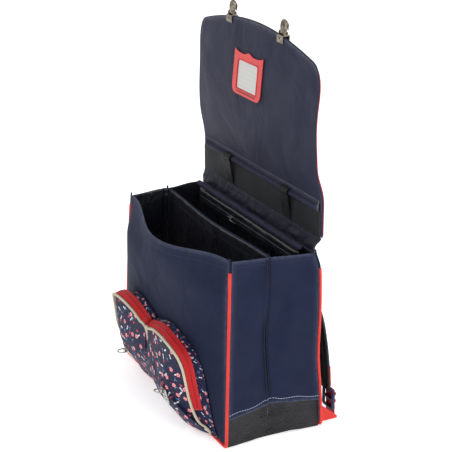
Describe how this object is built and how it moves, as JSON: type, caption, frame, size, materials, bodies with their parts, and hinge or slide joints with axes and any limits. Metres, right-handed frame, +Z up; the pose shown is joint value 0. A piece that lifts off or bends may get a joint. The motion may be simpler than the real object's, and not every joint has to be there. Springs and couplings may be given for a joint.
{
  "type": "school satchel",
  "caption": "Rectangular school satchel on back straps, standing open: raised flap with hooks, divided inside, printed zip pockets in front.",
  "frame": {"origin": "centre of the base's underside, on the surface it stands on", "axes": "+Z up, +X to the right side, +Y to the back with the straps, the pockets face -Y"},
  "size_m": [0.3989, 0.2693, 0.617],
  "materials": {
    "navy_cloth": "woven polyester, matte",
    "dark_lining": "coated lining cloth, slight sheen",
    "grey_navy_cloth": "woven polyester, soft sheen",
    "printed_cloth": "navy cloth with small scattered flowers",
    "red_piping": "smooth coated piping",
    "red_zip": "zip tape and webbing",
    "beige_piping": "cloth piping",
    "black_coated": "coated ribbed cloth",
    "black_webbing": "woven webbing",
    "black_mesh": "spacer mesh",
    "red_vinyl": "embossed vinyl",
    "ruled_card": "card, ruled lines",
    "aged_nickel": "aged nickel plate",
    "navy_plastic": "moulded"
  },
  "bodies": {
    "satchel": {"front_panel": "navy_cloth", "back_panel": "navy_cloth", "gusset_right": "navy_cloth", "gusset_left": "navy_cloth", "hinge_strip": "navy_cloth", "flap_roll": "navy_cloth", "divider": "dark_lining", "sleeve_panel": "dark_lining", "sleeve_zip": "dark_lining", "sleeve_roll": "grey_navy_cloth", "flap_lining": "grey_navy_cloth", "pocket_right": "printed_cloth", "pocket_left": "printed_cloth", "flap_cover": "printed_cloth", "piping_front": "red_piping", "piping_back": "red_piping", "flap_piping": "red_piping", "pocket_zip_right": "red_zip", "pocket_zip_left": "red_zip", "strap_webbing_right": "red_zip", "strap_webbing_left": "red_zip", "strap_tab_right": "red_zip", "strap_tab_left": "red_zip", "pocket_piping_right": "beige_piping", "pocket_piping_left": "beige_piping", "base_panel": "black_coated", "base_band_right": "black_coated", "base_band_left": "black_coated", "flap_band": "black_webbing", "flap_loop_right": "black_webbing", "flap_loop_left": "black_webbing", "handle": "black_webbing", "back_pad": "black_mesh", "shoulder_strap_right": "black_mesh", "shoulder_strap_left": "black_mesh", "label_holder": "red_vinyl", "label_card": "ruled_card", "catch_plate_right": "aged_nickel", "catch_plate_left": "aged_nickel", "hook_base_right": "aged_nickel", "hook_base_left": "aged_nickel", "sleeve_slider": "aged_nickel", "strap_adjuster_right": "navy_plastic", "strap_adjuster_left": "navy_plastic"},
    "hook_lever_right": {"hook_right": "aged_nickel"},
    "hook_lever_left": {"hook_left": "aged_nickel"},
    "ring_right": {"catch_ring_right": "aged_nickel"},
    "ring_left": {"catch_ring_left": "aged_nickel"}
  },
  "joints": [
    {"name": "hook_right_turn", "type": "hinge", "parent": "satchel", "child": "hook_lever_right", "pos_m": [0.082, 0.07016, 0.59729], "axis": [1, 0, 0], "range_deg": [-70, 80]},
    {"name": "hook_left_turn", "type": "hinge", "parent": "satchel", "child": "hook_lever_left", "pos_m": [-0.082, 0.07016, 0.59729], "axis": [1, 0, 0], "range_deg": [-70, 80]},
    {"name": "ring_right_swing", "type": "hinge", "parent": "satchel", "child": "ring_right", "pos_m": [0.08216, -0.13284, 0.06262], "axis": [1, 0, 0], "range_deg": [-40, 85]},
    {"name": "ring_left_swing", "type": "hinge", "parent": "satchel", "child": "ring_left", "pos_m": [-0.08188, -0.12424, 0.06067], "axis": [1, 0, 0], "range_deg": [-40, 85]}
  ]
}
